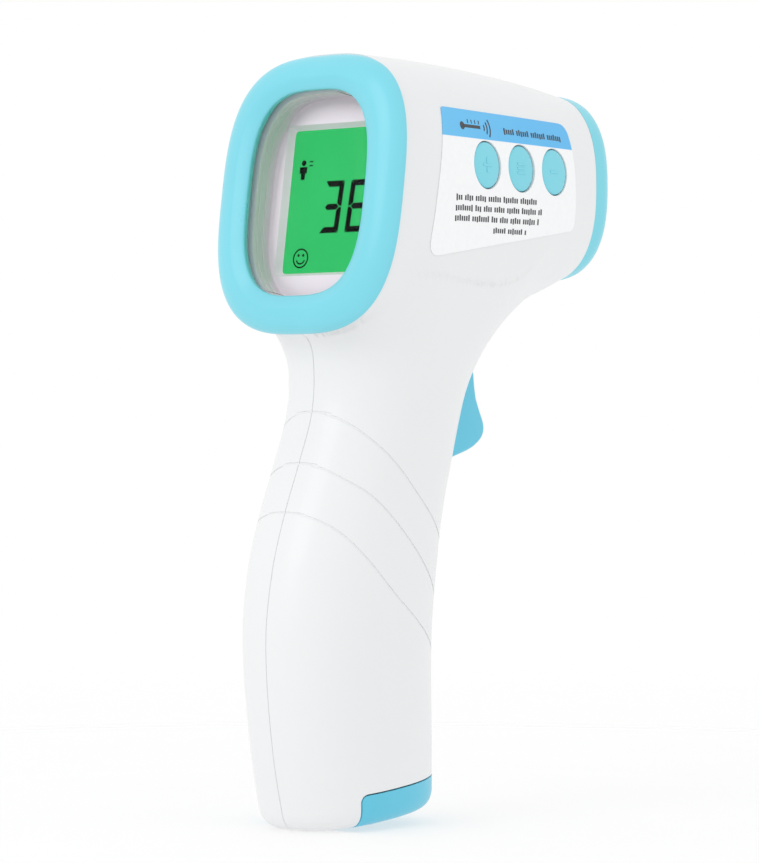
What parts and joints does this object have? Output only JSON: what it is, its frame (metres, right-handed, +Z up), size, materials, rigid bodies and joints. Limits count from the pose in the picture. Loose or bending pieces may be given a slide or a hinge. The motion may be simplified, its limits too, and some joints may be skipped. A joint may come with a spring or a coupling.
{
  "type": "digital thermometer",
  "caption": "Handheld infrared forehead thermometer with pistol grip, rear green display, side keys, finger trigger and sliding battery door.",
  "frame": {"origin": "middle of the sloping base face, under the handle", "axes": "+Z up the handle, +X the way the sensor looks, +Y the user's left"},
  "size_m": [0.0923, 0.0468, 0.1524],
  "materials": {
    "white_plastic": "glossy white ABS, lightly textured",
    "teal_plastic": "satin teal ABS",
    "deep_teal_plastic": "satin deeper teal ABS",
    "clear_plastic": "clear polycarbonate",
    "lcd_glass": "green lit liquid crystal glass",
    "light_guide": "milky light guide",
    "circuit_board": "green solder mask",
    "dark_plastic": "black moulded plastic",
    "plunger_grey": "grey moulded plastic",
    "label_film": "printed polyester film",
    "cell_wrap": "shrink wrapped steel can",
    "polished_aluminium": "bright turned",
    "nickel": "nickel plate",
    "sensor_glass": "coated infrared filter",
    "steel": "plated steel",
    "red_wire": "PVC insulation",
    "black_wire": "PVC insulation",
    "white_wire": "PVC insulation"
  },
  "bodies": {
    "housing": {"left_shell": "white_plastic", "right_shell": "white_plastic", "display_bezel": "teal_plastic", "display_window": "clear_plastic", "display_frame": "white_plastic", "lcd_panel": "lcd_glass", "backlight": "light_guide", "main_board": "circuit_board", "control_chip": "dark_plastic", "buzzer": "dark_plastic", "nose_ring": "teal_plastic", "nose_plate": "white_plastic", "sensor_cone": "polished_aluminium", "sensor_can": "nickel", "sensor_window": "sensor_glass", "sensor_board": "circuit_board", "side_label": "label_film", "key_switch_rear": "dark_plastic", "key_switch_middle": "dark_plastic", "key_switch_front": "dark_plastic", "key_board": "circuit_board", "trigger_pin": "steel", "trigger_switch": "dark_plastic", "trigger_board": "circuit_board", "trigger_spring": "steel", "battery_bay": "dark_plastic", "battery_left": "cell_wrap", "battery_right": "cell_wrap", "positive_contact": "nickel", "negative_spring": "steel", "case_screw_nose_top": "steel", "case_screw_nose_bottom": "steel", "case_screw_neck": "steel", "case_screw_handle": "steel", "battery_wire_positive": "red_wire", "battery_wire_negative": "black_wire", "sensor_wire": "white_wire", "trigger_wire": "white_wire", "key_wire": "white_wire"},
    "trigger": {"trigger": "deep_teal_plastic"},
    "trigger_plunger": {"trigger_plunger": "plunger_grey"},
    "button_rear": {"button_rear": "teal_plastic"},
    "button_middle": {"button_middle": "teal_plastic"},
    "button_front": {"button_front": "teal_plastic"},
    "key_plunger_rear": {"key_plunger_rear": "plunger_grey"},
    "key_plunger_middle": {"key_plunger_middle": "plunger_grey"},
    "key_plunger_front": {"key_plunger_front": "plunger_grey"},
    "battery_door": {"battery_door": "deep_teal_plastic", "door_contact": "nickel"}
  },
  "joints": [
    {"name": "trigger_hinge", "type": "hinge", "parent": "housing", "child": "trigger", "pos_m": [0.0272, 0, 0.0914], "axis": [0, 1, 0], "range_deg": [0, 5], "stiffness_Nm_per_rad": 0.35, "springref_deg": -3.44, "deforming": ["trigger_spring"]},
    {"name": "trigger_plunger_slide", "type": "slide", "parent": "housing", "child": "trigger_plunger", "axis": [-1, 0, 0], "range_m": [0, 0.0014]},
    {"name": "button_rear_press", "type": "slide", "parent": "housing", "child": "button_rear", "axis": [-0.0819, 0.9956, -0.0454], "range_m": [0, 0.0005], "stiffness_N_per_m": 800, "springref_m": -0.0004},
    {"name": "key_plunger_rear_slide", "type": "slide", "parent": "housing", "child": "key_plunger_rear", "axis": [-0.0819, 0.9956, -0.0454], "range_m": [0, 0.0006]},
    {"name": "button_middle_press", "type": "slide", "parent": "housing", "child": "button_middle", "axis": [-0.0819, 0.9956, -0.0454], "range_m": [0, 0.0005], "stiffness_N_per_m": 800, "springref_m": -0.0004},
    {"name": "key_plunger_middle_slide", "type": "slide", "parent": "housing", "child": "key_plunger_middle", "axis": [-0.0819, 0.9956, -0.0454], "range_m": [0, 0.0006]},
    {"name": "button_front_press", "type": "slide", "parent": "housing", "child": "button_front", "axis": [-0.0819, 0.9956, -0.0454], "range_m": [0, 0.0005], "stiffness_N_per_m": 800, "springref_m": -0.0004},
    {"name": "key_plunger_front_slide", "type": "slide", "parent": "housing", "child": "key_plunger_front", "axis": [-0.0819, 0.9956, -0.0454], "range_m": [0, 0.0006]},
    {"name": "battery_door_slide", "type": "slide", "parent": "housing", "child": "battery_door", "axis": [0.9954, 0, 0.0958], "range_m": [0, 0.026]}
  ],
  "couplings": [
    {"joint": "trigger_plunger_slide", "follows": "trigger_hinge", "m_per_rad": 0.0156},
    {"joint": "key_plunger_rear_slide", "follows": "button_rear_press", "ratio": 1},
    {"joint": "key_plunger_middle_slide", "follows": "button_middle_press", "ratio": 1},
    {"joint": "key_plunger_front_slide", "follows": "button_front_press", "ratio": 1}
  ]
}
